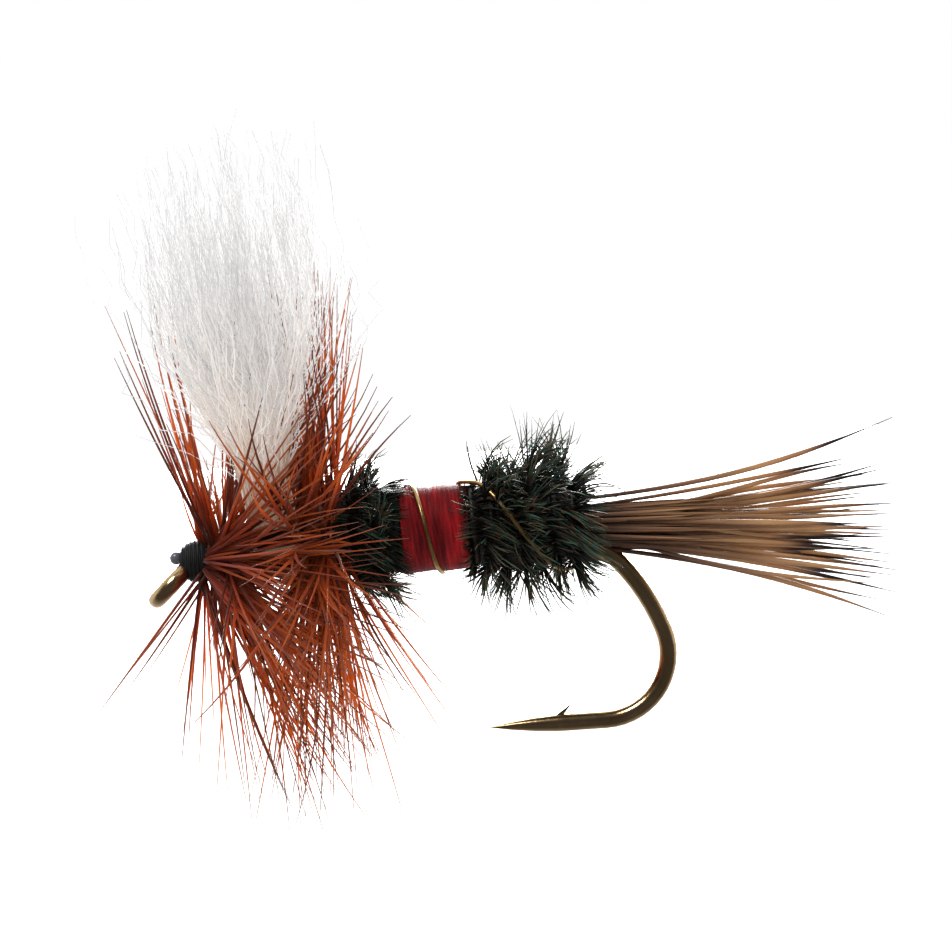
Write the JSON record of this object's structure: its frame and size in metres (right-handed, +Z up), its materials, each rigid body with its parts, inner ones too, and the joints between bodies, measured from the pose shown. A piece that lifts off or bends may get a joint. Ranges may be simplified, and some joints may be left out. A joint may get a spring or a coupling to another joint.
{
  "type": "dry fly",
  "caption": "Hair-wing dry fly with white wings, brown hackle, herl and red floss body and a hair tail, on a bronzed down-eye hook.",
  "frame": {"origin": "centre of the hook's eye", "axes": "+X along the shank from the eye to the tail, +Z up towards the wings, so the fly's left side faces -Y"},
  "size_m": [0.0265, 0.018, 0.0233],
  "materials": {
    "bronzed_wire": "satin",
    "black_thread": "matte",
    "tail_hair": "satin",
    "white_hair": "satin",
    "peacock_quill": "matte",
    "peacock_flue": "satin",
    "red_floss": "satin",
    "gold_wire": "satin",
    "brown_quill": "satin",
    "brown_hackle": "satin",
    "head_cement": "gloss"
  },
  "bodies": {
    "root": {"hook": "bronzed_wire", "thread_base": "black_thread", "tail_hair": "tail_hair", "tail_tie_wraps": "black_thread", "wing_butts": "white_hair", "butt_tie_wraps": "black_thread", "left_wing": "white_hair", "right_wing": "white_hair", "left_wing_post_wraps": "black_thread", "right_wing_post_wraps": "black_thread", "figure_eight_wraps": "black_thread", "wing_dam_wraps": "black_thread", "rear_herl_quill": "peacock_quill", "rear_herl_flue": "peacock_flue", "floss_band": "red_floss", "front_herl_quill": "peacock_quill", "front_herl_flue": "peacock_flue", "rib_wire": "gold_wire", "rear_hackle_quill": "brown_quill", "rear_hackle_barbs": "brown_hackle", "front_hackle_quill": "brown_quill", "front_hackle_barbs": "brown_hackle", "head_wraps": "black_thread", "head_cement": "head_cement", "thread_tag": "black_thread"}
  },
  "joints": []
}
